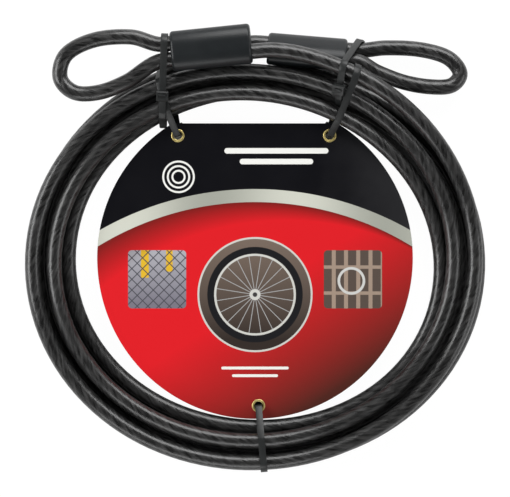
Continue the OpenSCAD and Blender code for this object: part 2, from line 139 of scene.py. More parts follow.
def crimp_place(x, y, z, roll, pitch, turn):
    turned = Matrix.Rotation(math.radians(turn), 4, "Z")
    pitched = Matrix.Rotation(math.radians(-pitch), 4, "Y")
    rolled = Matrix.Rotation(math.radians(-roll), 4, "X")
    return Matrix.Translation((x, y - MID_Y, z)) @ turned @ pitched @ rolled


LEFT_CRIMP = crimp_place(LEFT_CRIMP_X, START_R - LEFT_CRIMP_IN, OVER_Z, roll=0, pitch=3, turn=5.5)
RIGHT_CRIMP = crimp_place(RIGHT_CRIMP_X, START_R - RIGHT_CRIMP_IN, RIGHT_Z, roll=RIGHT_ROLL, pitch=0,
                          turn=-4.7)
print("left crimp at", [round(v, 1) for v in LEFT_CRIMP.translation])

# %% [markdown]
# ## The route of the coil
# A wound cable has a steady step from turn to turn, so its route is a formula and not a list: two loose
# turns in the front layer, a step down, and nearly three tight turns in the back layer. The value u
# counts the turns from the top. Sine and cosine terms draw the turns a little off the middle and off
# round, as stiff cable lies.

# %% Winding
INWARD = 0.4
SINKING = 0.35
DESCENT_AT = 0.08
DESCENT = 0.13
FRONT_DRIFT = (-0.415 * CABLE_D, -0.24 * CABLE_D)
REAR_DRIFT = (0.36 * BACK_PITCH, -0.27 * BACK_PITCH)
FRONT_OVAL = OVAL - 0.055 * CABLE_D
REAR_OVAL = OVAL + 0.05 * CABLE_D


def smooth(t):
    x = min(max(t, 0), 1)
    return x * x * (3 - 2 * x)


def off_round(u, drift, oval):
    a = math.tau * u
    return drift[0] * math.sin(a) + drift[1] * math.cos(a) - oval * math.cos(2 * a)


def front_radius(u):
    return START_R - FRONT_PITCH * u + off_round(u, FRONT_DRIFT, FRONT_OVAL)


def rear_radius(u):
    return BACK_R + BACK_PITCH * (u - FRONT_TURNS) + off_round(u, REAR_DRIFT, REAR_OVAL)


def wind(u):
    in_back = smooth((u - FRONT_TURNS) / INWARD)
    sunk = smooth((u - FRONT_TURNS) / SINKING)
    raised = 1 - smooth((u - DESCENT_AT) / DESCENT)
    r = front_radius(u) * (1 - in_back) + rear_radius(u) * in_back
    z = FRONT_Z * (1 - sunk) + BACK_Z * sunk + (OVER_Z - FRONT_Z) * raised
    a = math.tau * u
    return Vector((r * math.sin(a), r * math.cos(a) - MID_Y, z))


print("radius of the first turn at its start:", round(front_radius(0), 1))

# %% [markdown]
# ## From the winding to the crimps
# The first and the last leg of the coil lie dead straight in their ferrules. A bridge carries the cable
# from a leg to the winding. It is a Hermite curve, because that takes the place and the direction at both
# of its ends.

# %% Route of the coil
FIRST_U = 0.07
LAST_U = 4.94
COIL_STEPS = 600
BRIDGE_STEPS = 16
NUDGE = 0.001
END_X = FERRULE_L / 2


def wind_way(u):
    return (wind(u + NUDGE) - wind(u - NUDGE)).normalized()


def bridge(start, way_out, end, way_in):
    reach = (end - start).length
    points = []
    for i in range(1, BRIDGE_STEPS):
        k = i / BRIDGE_STEPS
        points.append((2 * k**3 - 3 * k**2 + 1) * start + (k**3 - 2 * k**2 + k) * reach * way_out
                      + (3 * k**2 - 2 * k**3) * end + (k**3 - k**2) * reach * way_in)
    return points


first_leg = [LEFT_CRIMP @ Vector((END_X + k * CABLE_D, -LEG, 0)) for k in (0, 0.5, 1)]
last_leg = [RIGHT_CRIMP @ Vector((-END_X - k * CABLE_D, LEG, 0)) for k in (1, 0.5, 0)]
turns = [wind(FIRST_U + (LAST_U - FIRST_U) * i / COIL_STEPS) for i in range(COIL_STEPS + 1)]
first_way = (first_leg[2] - first_leg[0]).normalized()
last_way = (last_leg[2] - last_leg[0]).normalized()
lead_in = bridge(first_leg[2], first_way, turns[0], wind_way(FIRST_U))
lead_out = bridge(turns[-1], wind_way(LAST_U), last_leg[0], last_way)
coil_route = first_leg + lead_in + turns + lead_out + last_leg
print("points on the coil:", len(coil_route))

# %% [markdown]
# ## The routes of the two eyes
# An eye isn't wound, so its route is a short list of points, given round the open shape of the
# loop. They are in cable diameters from the end of the ferrule. A Catmull-Rom curve goes through all of
# them, and two extra points before the first and after the last make it leave the ferrule dead straight.

# %% Eyes
LEFT_EYE = [(-3, 1.2, 0), (-5.4, 1.25, 0), (-7.3, 0.5, 0), (-7.85, -0.95, 0), (-7, -2, 0), (-5.4, -2.15, 0),
            (-3.55, -1.65, 0)]
RIGHT_EYE = [(3, 0.75, 0.25), (5.25, 0.75, 0.35), (7.1, 0.4, 0.15), (8, -0.3, -0.5), (7.5, -0.95, -1.05),
             (6.15, -1.15, -1.15), (4.4, -1.1, -1), (2.6, -0.85, -0.55)]
EYE_STEPS = 8


def between(a, b, c, d, t):
    return 0.5 * (2 * b + (c - a) * t + (2 * a - 5 * b + 4 * c - d) * t * t
                  + (3 * b - a - 3 * c + d) * t**3)


def eye_route(points, side, place):
    first = Vector((side * (END_X + CABLE_D), LEG, 0))
    last = Vector((side * (END_X + CABLE_D), -LEG, 0))
    middle = [Vector((side * END_X, 0, 0)) + CABLE_D * Vector(p) for p in points]
    before = middle[0] - Vector((2 * side * (middle[0] - first).length, 0, 0))
    after = middle[-1] - Vector((2 * side * (middle[-1] - last).length, 0, 0))
    stops = [before, first, *middle, last, after]
    run = [Vector((side * END_X, LEG, 0)), Vector((side * (END_X + CABLE_D / 2), LEG, 0))]
    for i in range(1, len(stops) - 2):
        run += [between(*stops[i - 1:i + 3], k / EYE_STEPS) for k in range(EYE_STEPS)]
    run += [last, Vector((side * (END_X + CABLE_D / 2), -LEG, 0)), Vector((side * END_X, -LEG, 0))]
    return [place @ v for v in run]


left_route = eye_route(LEFT_EYE, -1, LEFT_CRIMP)
right_route = eye_route(RIGHT_EYE, 1, RIGHT_CRIMP)
print("points on the eyes:", len(left_route), len(right_route))

# %% [markdown]
# ## The cable as round tubes
# A tube is laid along each route in mesh code, because every ring then stays square to the cable and
# carries a UV map: U counts millimetres along the cable and V goes once round it. The pattern of the rope
# under the vinyl reads that map, so it follows the cable through every turn.

# %% Tube builder
def ring_round(points, i, sides):
    ahead = points[min(i + 1, len(points) - 1)]
    behind = points[max(i - 1, 0)]
    way = (ahead - behind).normalized()
    side = way.cross(Vector((0, 0, 1))).normalized()
    up = side.cross(way)
    angles = [math.tau * k / sides for k in range(sides)]
    return [points[i] + CABLE_D / 2 * (math.cos(a) * side + math.sin(a) * up) for a in angles]


def in_scene(name, mesh):
    piece = bpy.data.objects.new(name, mesh)
    bpy.context.scene.collection.objects.link(piece)
    return piece


def cable_tube(name, points, sides):
    mesh = bmesh.new()
    run = mesh.loops.layers.uv.new("cable_run")
    rings = [[mesh.verts.new(v * MM) for v in ring_round(points, i, sides)] for i in range(len(points))]
    along = 0
    for i in range(len(points) - 1):
        step = (points[i + 1] - points[i]).length
        for k in range(sides):
            j = (k + 1) % sides
            face = mesh.faces.new([rings[i][k], rings[i][j], rings[i + 1][j], rings[i + 1][k]])
            corners = [(along, k), (along, k + 1), (along + step, k + 1), (along + step, k)]
            for loop, (u, v) in zip(face.loops, corners):
                loop[run].uv = (u, v / sides)
            face.smooth = True
        along += step
    mesh.faces.new(list(reversed(rings[0])))
    mesh.faces.new(rings[-1])
    bmesh.ops.recalc_face_normals(mesh, faces=mesh.faces)
    data = bpy.data.meshes.new(name)
    mesh.to_mesh(data)
    mesh.free()
    return in_scene(name, data)


print("tube builder ready")

# %% Cable
COIL_SIDES = 20
EYE_SIDES = 24


def lay_cord(tube, node):
    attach(tube, "lock")
    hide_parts(node)


coil_tube = cable_tube("coil_jacket", coil_route, COIL_SIDES)
left_tube = cable_tube("left_eye_jacket", left_route, EYE_SIDES)
right_tube = cable_tube("right_eye_jacket", right_route, EYE_SIDES)
lay_cord(coil_tube, "cable_coil")
lay_cord(left_tube, "left_end_loop")
lay_cord(right_tube, "right_end_loop")

# %% [markdown]
# ## Small tools for modelling
# Operators act on everything that is selected, and the loaded nodes come in selected. So each piece
# starts from an empty selection. Short helpers select one piece, select its vertices by their place, turn
# its faces outwards, apply a modifier, cut with a boolean, and put a finished piece in place, so that its
# object ends at the origin with its place in its mesh.

# %% Modelling helpers
def only(piece):
    bpy.ops.object.select_all(action="DESELECT")
    piece.select_set(True)
    bpy.context.view_layer.objects.active = piece


def set_down(piece, place):
    only(piece)
    piece.matrix_world = place
    bpy.ops.object.transform_apply(location=True, rotation=True, scale=True)


def in_metres(place):
    moved = place.copy()
    moved.translation = place.translation * MM
    return moved


def finish_with(piece, kind, **settings):
    only(piece)
    modifier = piece.modifiers.new(kind.lower(), kind)
    for key, value in settings.items():
        setattr(modifier, key, value)
    bpy.ops.object.modifier_apply(modifier=modifier.name)


def cut(piece, cutter):
    finish_with(piece, "BOOLEAN", object=cutter, operation="DIFFERENCE", solver="EXACT")
    bpy.data.objects.remove(cutter)


def pick(piece, wanted):
    bpy.ops.object.mode_set(mode="EDIT")
    bpy.ops.mesh.select_mode(type="VERT")
    bpy.ops.mesh.select_all(action="DESELECT")
    bpy.ops.object.mode_set(mode="OBJECT")
    for vertex in piece.data.vertices:
        vertex.select = wanted(vertex.co)
    bpy.ops.object.mode_set(mode="EDIT")


def face_outwards():
    bpy.ops.mesh.select_all(action="SELECT")
    bpy.ops.mesh.normals_make_consistent(inside=False)
    bpy.ops.object.mode_set(mode="OBJECT")


print("helpers ready")

# %% [markdown]
# ## The rubber sleeves
# A sleeve is a thick boot shrunk over the ferrule, so its faces are crowned and its ends are softly
# rounded. The outline is a circle, partly stretched and partly pulled apart by the two legs, and the more
# it is stretched the more the faces are crowned. It is pushed out along the sleeve, and its rims are
# bevelled. The hollow for the ferrule and the mouth on the loop's side are circles that are only pulled
# apart, and the other mouth is round. All three are cut with boolean modifiers.

# %% Sleeve outline
CROWN = 0.6
OFF_MIDDLE = 0.1 * MM


def bar_of(length, thickness, crown, name):
    bpy.ops.object.select_all(action="DESELECT")
    bpy.ops.mesh.primitive_circle_add(vertices=64, radius=thickness / 2 * MM, fill_type="NGON",
                                      location=(0, 0, 0), rotation=(0, math.pi / 2, 0))
    bar = bpy.context.object
    bar.name = name
    bpy.ops.object.transform_apply(rotation=True)
    bar.scale.y = 1 + 2 * crown * LEG / thickness
    bpy.ops.object.transform_apply(scale=True)
    for side in (1, -1):
        pick(bar, lambda v: v.y * side > OFF_MIDDLE)
        bpy.ops.transform.translate(value=(0, side * (1 - crown) * LEG * MM, 0))
        bpy.ops.object.mode_set(mode="OBJECT")
    pick(bar, lambda v: True)
    bpy.ops.transform.translate(value=(-length / 2 * MM, 0, 0))
    bpy.ops.mesh.extrude_region_move(TRANSFORM_OT_translate={"value": (length * MM, 0, 0)})
    face_outwards()
    return bar


print("share of the outline that is stretched:", CROWN)

# %% Sleeves
SLEEVE_EDGE = 2.1
MOUTH_GAP = 0.3
MOUTH_D = CABLE_D + 2 * MOUTH_GAP
FERRULE_FIT = 0.1
CUT_PAST = 2


def mouth_cutter(x, y, both):
    length = SLEEVE_OVER + CUT_PAST
    if both:
        cutter = bar_of(length, MOUTH_D, 0, "mouth_cutter")
    else:
        bpy.ops.object.select_all(action="DESELECT")
        bpy.ops.mesh.primitive_cylinder_add(vertices=48, radius=MOUTH_D / 2 * MM, depth=length * MM,
                                            rotation=(0, math.pi / 2, 0))
        cutter = bpy.context.object
    set_down(cutter, Matrix.Translation((x * MM, y * MM, 0)) @ cutter.matrix_world)
    return cutter


def rubber_sleeve(name, node, place, loop_side):
    sleeve = bar_of(SLEEVE_L, SLEEVE_T, CROWN, name)
    finish_with(sleeve, "BEVEL", width=SLEEVE_EDGE * MM, segments=5, limit_method="ANGLE", angle_limit=1)
    cut(sleeve, bar_of(FERRULE_L + FERRULE_FIT, FERRULE_T + FERRULE_FIT, 0, "ferrule_cutter"))
    mouth_x = FERRULE_L / 2 + SLEEVE_OVER / 2
    cut(sleeve, mouth_cutter(loop_side * mouth_x, 0, True))
    cut(sleeve, mouth_cutter(-loop_side * mouth_x, loop_side * LEG, False))
    only(sleeve)
    bpy.ops.object.shade_smooth_by_angle(angle=math.radians(35))
    set_down(sleeve, in_metres(place))
    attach(sleeve, "lock")
    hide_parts(node)
    print(name, "vertices:", len(sleeve.data.vertices))
    return sleeve


sleeves = [rubber_sleeve("left_rubber_sleeve", "left_ferrule_sleeve", LEFT_CRIMP, -1),
           rubber_sleeve("right_rubber_sleeve", "right_ferrule_sleeve", RIGHT_CRIMP, 1)]

# %% [markdown]
# ## Bare rope in the ferrules
# Inside a ferrule the jacket is stripped, and the steel rope shows its six strands twisted round a
# seventh. One section of seven circles swept by a screw modifier gives that twist exactly. It is modelled
# once and copied.

# %% Bare rope
LAY = 72
STRANDS = 6
STRAND_R = CORE_D / 6
STRAND_SIDES = 12
TWIST_STEPS = 36


def strand_section():
    bpy.ops.object.select_all(action="DESELECT")
    spots = [(0, 0)]
    spots += [(2 * STRAND_R * math.cos(a), 2 * STRAND_R * math.sin(a))
              for a in (math.tau * k / STRANDS for k in range(STRANDS))]
    circles = []
    for y, z in spots:
        bpy.ops.mesh.primitive_circle_add(vertices=STRAND_SIDES, radius=STRAND_R * MM,
                                          rotation=(0, math.pi / 2, 0),
                                          location=(-FERRULE_L / 2 * MM, y * MM, z * MM))
        circles.append(bpy.context.object)
    for circle in circles:
        circle.select_set(True)
    bpy.ops.object.join()
    bpy.ops.object.transform_apply(location=True, rotation=True, scale=True)
    return bpy.context.object


def twisted_rope():
    rope = strand_section()
    finish_with(rope, "SCREW", axis="X", angle=math.tau * FERRULE_L / LAY, screw_offset=FERRULE_L * MM,
                steps=TWIST_STEPS, render_steps=TWIST_STEPS, use_normal_calculate=True)
    bpy.ops.object.mode_set(mode="EDIT")
    bpy.ops.mesh.select_all(action="SELECT")
    bpy.ops.mesh.fill_holes(sides=STRAND_SIDES)
    face_outwards()
    bpy.ops.object.shade_smooth_by_angle(angle=math.radians(40))
    return rope


rope = twisted_rope()
print("rope vertices:", len(rope.data.vertices))

# %% Ropes in the crimps
def bare_rope(name, node, place, y):
    copy = in_scene(name, rope.data.copy())
    set_down(copy, in_metres(place) @ Matrix.Translation((0, y * MM, 0)))
    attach(copy, "lock")
    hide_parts(node)
    return copy


ropes = [bare_rope("left_standing_rope", "left_standing_core", LEFT_CRIMP, -LEG),
         bare_rope("left_dead_rope", "left_dead_core", LEFT_CRIMP, LEG),
         bare_rope("right_standing_rope", "right_standing_core", RIGHT_CRIMP, LEG),
         bare_rope("right_dead_rope", "right_dead_core", RIGHT_CRIMP, -LEG)]
bpy.data.objects.remove(rope)
print("bare ropes:", len(ropes))

# %% [markdown]
# ## The card
# The card is stiff coated board, punched out round with one straight edge and three holes. Its lower half
# is a little fuller than a half circle. So a circle is stretched there, cut straight by bisect at the top
# and pushed down to its thickness. The holes are booleans, and a fine bevel softens the edge, so that it
# catches some light.

# %% Card blank
FULLER = 1.02

bpy.ops.object.select_all(action="DESELECT")
bpy.ops.mesh.primitive_circle_add(vertices=240, radius=CARD_R * MM, fill_type="NGON")
card = bpy.context.object
card.name = "printed_board"
pick(card, lambda v: v.y < 0)
bpy.ops.transform.resize(value=(1, FULLER, 1), center_override=(0, 0, 0))
bpy.ops.mesh.select_all(action="SELECT")
bpy.ops.mesh.bisect(plane_co=(0, CARD_TOP * MM, 0), plane_no=(0, 1, 0), clear_outer=True)
bpy.ops.mesh.select_all(action="SELECT")
bpy.ops.mesh.extrude_region_move(TRANSFORM_OT_translate={"value": (0, 0, -CARD_T * MM)})
face_outwards()
set_down(card, Matrix.Translation((0, -MID_Y * MM, (CARD_Z + CARD_T / 2) * MM)))
print("size of the blank in metres:", [round(v, 4) for v in card.dimensions])

# %% Holes and edge
HOLE_D = 6.3
BOARD_EDGE = 0.08
EYELETS = {"left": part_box("left_eyelet"), "right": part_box("right_eyelet"), "lower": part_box("lower_eyelet")}


def middle(box):
    low, high = box
    return (low[0] + high[0]) / 2, (low[1] + high[1]) / 2


for box in EYELETS.values():
    bpy.ops.object.select_all(action="DESELECT")
    bpy.ops.mesh.primitive_cylinder_add(vertices=48, radius=HOLE_D / 2 * MM, depth=4 * CARD_T * MM,
                                        location=(*middle(box), CARD_Z * MM))
    cut(card, bpy.context.object)
finish_with(card, "BEVEL", width=BOARD_EDGE * MM, segments=2, limit_method="ANGLE", angle_limit=1)
only(card)
bpy.ops.object.shade_smooth_by_angle(angle=math.radians(20))
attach(card, "card")
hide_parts("display_card")
print("card vertices:", len(card.data.vertices))

# %% [markdown]
# ## The eyelets
# A brass eyelet is a thin barrel with a domed flange in front and a lip rolled over a washer behind. The
# two rims are flattened circles spun round the hole, and the barrel is a tube with a wall. They are
# joined into one eyelet, which is modelled once and copied three times.

# %% Parts of an eyelet
BORE_R = 2.8
BARREL_WALL = 0.3
FLANGE_R = 4.3
FLANGE_T = 0.45
WASHER_T = 0.4
LIP_T = 0.4
LIP_W = 1


def spun_rim(inner, outer, low, high):
    bpy.ops.object.select_all(action="DESELECT")
    middle_r = (inner + outer) / 2
    middle_z = (low + high) / 2
    bpy.ops.mesh.primitive_circle_add(vertices=16, radius=(outer - inner) / 2 * MM,
                                      rotation=(math.pi / 2, 0, 0),
                                      location=(middle_r * MM, 0, middle_z * MM))
    rim = bpy.context.object
    rim.scale.y = (high - low) / (outer - inner)
    bpy.ops.object.transform_apply(location=True, rotation=True, scale=True)
    bpy.ops.object.mode_set(mode="EDIT")
    bpy.ops.mesh.select_all(action="SELECT")
    bpy.ops.mesh.spin(steps=64, angle=math.tau, center=(0, 0, 0), axis=(0, 0, 1))
    bpy.ops.mesh.select_all(action="SELECT")
    bpy.ops.mesh.remove_doubles(threshold=0.01 * MM)
    face_outwards()
    return rim


def barrel(low, high):
    bpy.ops.object.select_all(action="DESELECT")
    bpy.ops.mesh.primitive_cylinder_add(vertices=64, radius=(BORE_R + BARREL_WALL) * MM,
                                        depth=(high - low) * MM, end_fill_type="NOTHING",
                                        location=(0, 0, (low + high) / 2 * MM))
    tube = bpy.context.object
    bpy.ops.object.transform_apply(location=True)
    finish_with(tube, "SOLIDIFY", thickness=BARREL_WALL * MM, offset=-1)
    return tube


flange = spun_rim(BORE_R, FLANGE_R, CARD_T / 2, CARD_T / 2 + FLANGE_T)
lip = spun_rim(BORE_R, BORE_R + LIP_W, -CARD_T / 2 - WASHER_T - LIP_T, -CARD_T / 2 - WASHER_T)
tube = barrel(-CARD_T / 2 - WASHER_T - LIP_T / 2, CARD_T / 2 + FLANGE_T / 2)
for part in (flange, lip, tube):
    part.select_set(True)
bpy.ops.object.join()
eyelet = bpy.context.object
bpy.ops.object.shade_smooth_by_angle(angle=math.radians(40))
print("eyelet vertices:", len(eyelet.data.vertices))

# %% Eyelets
rings = []
for side, box in EYELETS.items():
    ring = in_scene(side + "_brass_eyelet", eyelet.data.copy())
    set_down(ring, Matrix.Translation((*middle(box), CARD_Z * MM)))
    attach(ring, "card")
    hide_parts(side + "_eyelet")
    rings.append(ring)
bpy.data.objects.remove(eyelet)
print("eyelets:", len(rings))

# %% [markdown]
# ## The ties
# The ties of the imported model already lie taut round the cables, so a merged copy of each is the start.
# Flat triangles are dissolved into clean faces, a fine bevel rounds the strap's edges and the corners of
# the head as a mould does, and the long curved runs are shaded smooth.

# %% Ties
TIES = ["left_card_tie", "right_card_tie", "lower_card_tie", "left_loop_tie", "right_loop_tie"]
STRAP_EDGE = 0.18


def moulded(node_name):
    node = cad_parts[node_name]
    piece = in_scene(node_name.replace("_tie", "_strap"), node.data.copy())
    piece.data.materials.clear()
    only(piece)
    bpy.ops.object.mode_set(mode="EDIT")
    bpy.ops.mesh.select_all(action="SELECT")
    bpy.ops.mesh.remove_doubles(threshold=0.005 * MM)
    bpy.ops.mesh.dissolve_limited(angle_limit=math.radians(1))
    bpy.ops.object.mode_set(mode="OBJECT")
    finish_with(piece, "BEVEL", width=STRAP_EDGE * MM, segments=2, limit_method="ANGLE",
                angle_limit=math.radians(50), use_clamp_overlap=True)
    bpy.ops.object.shade_smooth_by_angle(angle=math.radians(30))
    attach(piece, "lock")
    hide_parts(node_name)
    print(piece.name, "faces:", len(piece.data.polygons))
    return piece


straps = [moulded(name) for name in TIES]

# %% [markdown]
# ## Tools for the finishes
# Materials are built from nodes in code. One helper adds a node and sets its values, one does a sum whose
# inputs may each be a number or a socket, one mixes two colours by a mask, and one carries a range of
# values over to another. The colours of a Mix node are reached by number, since several of its sockets
# share a name. Patterns that serve more than one finish become node groups, built once here and placed
# with other values in each material.

# %% Node helpers
COLOUR_A = 6
COLOUR_B = 7
COLOUR_OUT = 2


def add(tree, kind, inputs=None, **settings):
    node = tree.nodes.new(kind)
    for key, value in settings.items():
        setattr(node, key, value)
    for key, value in (inputs or {}).items():
        if isinstance(value, bpy.types.NodeSocket):
            tree.links.new(value, node.inputs[key])
        else:
            node.inputs[key].default_value = value
    return node


def sum_of(tree, operation, *values):
    return add(tree, "ShaderNodeMath", dict(enumerate(values)), operation=operation).outputs[0]


def mixed(tree, mask, low, high):
    colours = {0: mask, COLOUR_A: low, COLOUR_B: high}
    return add(tree, "ShaderNodeMix", colours, data_type="RGBA", clamp_factor=True).outputs[COLOUR_OUT]


def carried(tree, value, start, end, low=0.0, high=1.0):
    ranges = {"Value": value, "From Min": start, "From Max": end, "To Min": low, "To Max": high}
    return add(tree, "ShaderNodeMapRange", ranges).outputs[0]


def noise_of(tree, place, scale, detail, rough=0.5):
    values = {"Vector": place, "Scale": scale, "Detail": detail, "Roughness": rough}
    return add(tree, "ShaderNodeTexNoise", values).outputs[0]


def at_object(tree):
    return add(tree, "ShaderNodeTexCoord").outputs["Object"]


def grey(value, warmth=0.0):
    return (value * (1 + warmth), value, value * (1 - warmth), 1)


print("node helpers ready")

# %% Group and finish helpers
def new_group(name, inputs, outputs):
    group = bpy.data.node_groups.new(name, "ShaderNodeTree")
    for key, value in inputs.items():
        kind = "NodeSocketVector" if value is None else "NodeSocketFloat"
        socket = group.interface.new_socket(name=key, in_out="INPUT", socket_type=kind)
        if value is not None:
            socket.default_value = value
    for key in outputs:
        group.interface.new_socket(name=key, in_out="OUTPUT", socket_type="NodeSocketFloat")
    return group, group.nodes.new("NodeGroupInput").outputs, group.nodes.new("NodeGroupOutput").inputs


def place_group(tree, group, **inputs):
    values = {key.replace("_", " "): value for key, value in inputs.items()}
    return add(tree, "ShaderNodeGroup", values, node_tree=group).outputs


def new_finish(name, **constants):
    finish = bpy.data.materials.new(name)
    finish.use_nodes = True
    shader = finish.node_tree.nodes["Principled BSDF"]
    for key, value in constants.items():
        shader.inputs[key.replace("_", " ")].default_value = value
    return finish, finish.node_tree, shader.inputs


def bumped(tree, inputs, height, distance):
    bump = add(tree, "ShaderNodeBump", {"Height": height, "Distance": distance})
    tree.links.new(bump.outputs[0], inputs["Normal"])


print("group and finish helpers ready")

# %% [markdown]
# ## Pattern: twisted rope
# Six strands wind round the core once in each lay, and the wires in a strand run nearly straight along
# the rope. Both are stripes in the cable's own map: the strand phase grows with the angle and with the
# length, and the wire phase mostly with the angle. A parabola over each stripe gives it a round back.

# %% Rope group
WIRES = 30
WIRE_LEAN = 0.4

rope_lay, given, made = new_group("rope_lay",
                                  {"Along": 0, "Round": 0, "Lay": LAY, "Strands": STRANDS, "Wires": WIRES},
                                  ["Strand", "Wire"])


def ridge(tree, phase):
    part = sum_of(tree, "FRACT", phase)
    rest = sum_of(tree, "SUBTRACT", 1, part)
    return sum_of(tree, "MULTIPLY", sum_of(tree, "MULTIPLY", part, rest), 4)


turn = sum_of(rope_lay, "DIVIDE", given["Along"], given["Lay"])
strand_turn = sum_of(rope_lay, "ADD", turn, given["Round"])
wire_turn = sum_of(rope_lay, "SUBTRACT", given["Round"], sum_of(rope_lay, "MULTIPLY", turn, WIRE_LEAN))
strand_phase = sum_of(rope_lay, "MULTIPLY", strand_turn, given["Strands"])
wire_phase = sum_of(rope_lay, "MULTIPLY", wire_turn, given["Wires"])
rope_lay.links.new(ridge(rope_lay, strand_phase), made["Strand"])
rope_lay.links.new(ridge(rope_lay, wire_phase), made["Wire"])
print("group:", rope_lay.name)

# %% [markdown]
# ## Pattern: handling marks
# Nothing that hangs in a shop is evenly clean. Soft patches of a broad noise change the gloss a little,
# and a fine noise gives the skin that moulded and pressed goods have. Both come out as values between 0
# and 1.

# %% Handling group
handling, given, made = new_group("handling", {"Place": None, "Patch Scale": 40, "Grain Scale": 900},
                                  ["Patches", "Grain"])
patches = noise_of(handling, given["Place"], given["Patch Scale"], detail=4, rough=0.6)
grain = noise_of(handling, given["Place"], given["Grain Scale"], detail=2)
handling.links.new(patches, made["Patches"])
handling.links.new(grain, made["Grain"])
print("group:", handling.name)

# %% [markdown]
# ## Finish: smoky vinyl over rope
# The jacket is clear vinyl dyed nearly black. Light gets in a little way, so the backs of the strands
# show as dull grey streaks and the gaps between them stay darker. A noise breaks the streaks up. It is
# wrapped round the cable with the same twist, on a cylinder, so that it has no seam. The vinyl also
# follows the strands, which makes the bright lines on it waver, and a thin clear coat gives those lines
# their narrow shine.

# %% Streaks under the vinyl
STREAK_RATE = 0.13
STREAK_RADIUS = 3.4

jacket, tree, skin = new_finish("smoky_vinyl", Coat_Weight=0.35, Coat_Roughness=0.11, IOR=1.5)
cable_run = add(tree, "ShaderNodeUVMap", uv_map="cable_run").outputs[0]
run = add(tree, "ShaderNodeSeparateXYZ", {0: cable_run}).outputs
pattern = place_group(tree, rope_lay, Along=run[0], Round=run[1])
turned = sum_of(tree, "MULTIPLY", sum_of(tree, "MULTIPLY_ADD", run[0], 1 / LAY, run[1]), math.tau)
across = sum_of(tree, "MULTIPLY", sum_of(tree, "COSINE", turned), STREAK_RADIUS)
upward = sum_of(tree, "MULTIPLY", sum_of(tree, "SINE", turned), STREAK_RADIUS)
along = sum_of(tree, "MULTIPLY", run[0], STREAK_RATE)
wrapped = add(tree, "ShaderNodeCombineXYZ", {0: along, 1: across, 2: upward}).outputs[0]
streaks = noise_of(tree, wrapped, scale=1, detail=4, rough=0.6)
print("streaks wrapped on a cylinder of", STREAK_RADIUS, "mm")

# %% Jacket
VINYL = grey(0.0012)
STEEL_BACK = grey(0.060, 0.01)
STREAKS_FROM = 0.40
STREAKS_TO = 0.66
FAINTEST = 0.1
IN_GAPS = 0.4
BACK_CURVE = 0.6
SMOOTHEST = 0.2
DULLER = 0.2
WIRE_RIB = 0.05
STRAND_RIB = 0.16
SKIN_DEPTH = 0.30

shown = carried(tree, streaks, STREAKS_FROM, STREAKS_TO, FAINTEST)
backs = sum_of(tree, "POWER", pattern["Strand"], BACK_CURVE)
strands = sum_of(tree, "MULTIPLY_ADD", backs, 1 - IN_GAPS, IN_GAPS)
wires = sum_of(tree, "MULTIPLY_ADD", pattern["Wire"], 1 - IN_GAPS, IN_GAPS)
seen = sum_of(tree, "MULTIPLY", sum_of(tree, "MULTIPLY", strands, wires), shown)
tree.links.new(mixed(tree, seen, VINYL, STEEL_BACK), skin["Base Color"])
tree.links.new(sum_of(tree, "MULTIPLY_ADD", streaks, DULLER, SMOOTHEST), skin["Roughness"])
strand_ribs = sum_of(tree, "MULTIPLY", pattern["Strand"], STRAND_RIB)
ribs = sum_of(tree, "MULTIPLY_ADD", pattern["Wire"], WIRE_RIB, strand_ribs)
bumped(tree, skin, sum_of(tree, "ADD", streaks, ribs), SKIN_DEPTH * MM)
for tube in (coil_tube, left_tube, right_tube):
    tube.data.materials.append(jacket)
print("finish:", jacket.name)

# %% [markdown]
# ## Finish: rubber, nylon and their skins
# The sleeves are satin black rubber and the ties are black nylon, a shade lighter. The pawls in their
# heads are lighter and duller again. All have an even moulded grain. They are finished by one function,
# since only their values differ: the lowest roughness, how much the patches add to it, and the sizes of
# the patches and the grain. The helper worn sets these, and it serves the metals and the print as well.

# %% Rubber and nylon
MOULD_GRAIN = 0.03
DULL_GAIN = 1.9
RUBBER_BLACK = (0.0085, 0.010, 0.011)
NYLON_BLACK = (0.014, 0.015, 0.015)
PAWL_BLACK = (0.024, 0.024, 0.025)


def worn(tree, skin, rough, spread, patch, grain, depth):
    marks = place_group(tree, handling, Place=at_object(tree), Patch_Scale=patch, Grain_Scale=grain)
    tree.links.new(sum_of(tree, "MULTIPLY_ADD", marks["Patches"], spread, rough), skin["Roughness"])
    bumped(tree, skin, marks["Grain"], depth * MM)
    return marks["Patches"]


def moulded_black(name, colour, **wear):
    finish, tree, skin = new_finish(name, IOR=1.5, Specular_IOR_Level=0.35)
    patches = worn(tree, skin, depth=MOULD_GRAIN, **wear)
    dull = tuple(DULL_GAIN * c for c in colour) + (1,)
    tree.links.new(mixed(tree, patches, colour + (1,), dull), skin["Base Color"])
    print("finish:", name)
    return finish


rubber = moulded_black("sleeve_rubber", RUBBER_BLACK, rough=0.26, spread=0.2, patch=45, grain=900)
nylon = moulded_black("tie_nylon", NYLON_BLACK, rough=0.24, spread=0.25, patch=120, grain=1400)
pawl_nylon = moulded_black("pawl_nylon", PAWL_BLACK, rough=0.34, spread=0.3, patch=160, grain=1600)
for sleeve in sleeves:
    sleeve.data.materials.append(rubber)
for strap in straps:
    strap.data.materials.append(nylon)


def paint_node(name, finish):
    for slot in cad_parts[name].material_slots:
        slot.material = finish


for name in TIES:
    paint_node(name + "_pawl", pawl_nylon)

# %% [markdown]
# ## Finish: the metals
# Brass eyelets are bright with slight tarnish in patches. The ferrules are pressed aluminium with a dull
# pressed skin, and the bare rope is drawn steel wire with a trace of oil. Metals get their look from
# roughness that changes over the surface and from two colours, the first of them dull and the second
# bright.

